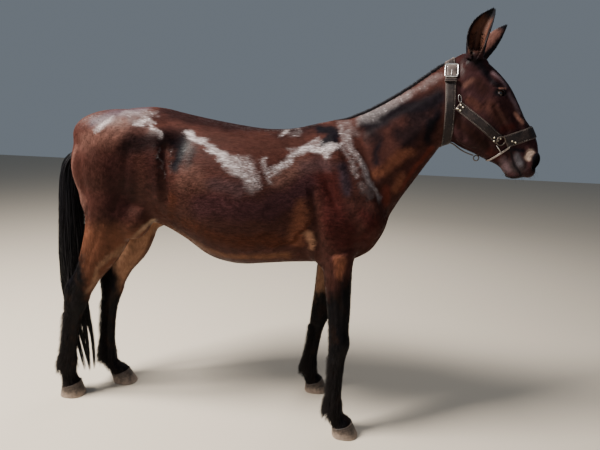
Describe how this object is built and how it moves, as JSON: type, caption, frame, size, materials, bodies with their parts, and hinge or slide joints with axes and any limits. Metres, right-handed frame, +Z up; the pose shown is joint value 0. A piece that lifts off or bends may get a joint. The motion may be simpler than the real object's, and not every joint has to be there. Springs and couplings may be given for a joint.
{
  "type": "mule",
  "caption": "A standing mule with long ears, short upright mane and full tail, wearing a leather halter, as a still life-size model.",
  "frame": {"origin": "the middle of the whole model's footprint box, on the floor under the hooves", "axes": "+X towards the mule's head, +Y towards its left side, +Z up"},
  "size_m": [2.2862, 0.5384, 1.949],
  "materials": {
    "coat": "satin",
    "coat_neck": "satin",
    "coat_head": "satin",
    "coat_upper_leg": "satin",
    "coat_thigh": "satin",
    "coat_lower_leg": "satin",
    "hoof": "matte",
    "ear": "matte",
    "eye": "gloss",
    "mane_hair": "matte",
    "tail_hair": "satin",
    "strap": "matte",
    "pale_strap": "matte",
    "fitting": "satin",
    "buckle": "polished"
  },
  "bodies": {
    "root": {"torso": "coat", "neck": "coat_neck", "head": "coat_head", "fore_leg_upper_right": "coat_upper_leg", "fore_leg_upper_left": "coat_upper_leg", "hind_leg_upper_right": "coat_thigh", "hind_leg_upper_left": "coat_thigh", "fore_leg_lower_right": "coat_lower_leg", "fore_leg_lower_left": "coat_lower_leg", "hind_leg_lower_right": "coat_lower_leg", "hind_leg_lower_left": "coat_lower_leg", "hoof_fore_right": "hoof", "hoof_fore_left": "hoof", "hoof_hind_right": "hoof", "hoof_hind_left": "hoof", "ear_right": "ear", "ear_left": "ear", "eye_right": "eye", "eye_left": "eye", "mane": "mane_hair", "tail": "tail_hair", "halter_neck_band": "strap", "halter_nose_band": "strap", "halter_cheek_strap_right": "strap", "halter_cheek_strap_left": "strap", "halter_jaw_strap": "strap", "halter_chin_strap": "pale_strap", "halter_cheek_ring_right": "fitting", "halter_cheek_ring_left": "fitting", "halter_jaw_ring": "fitting", "halter_buckle": "buckle"}
  },
  "joints": []
}
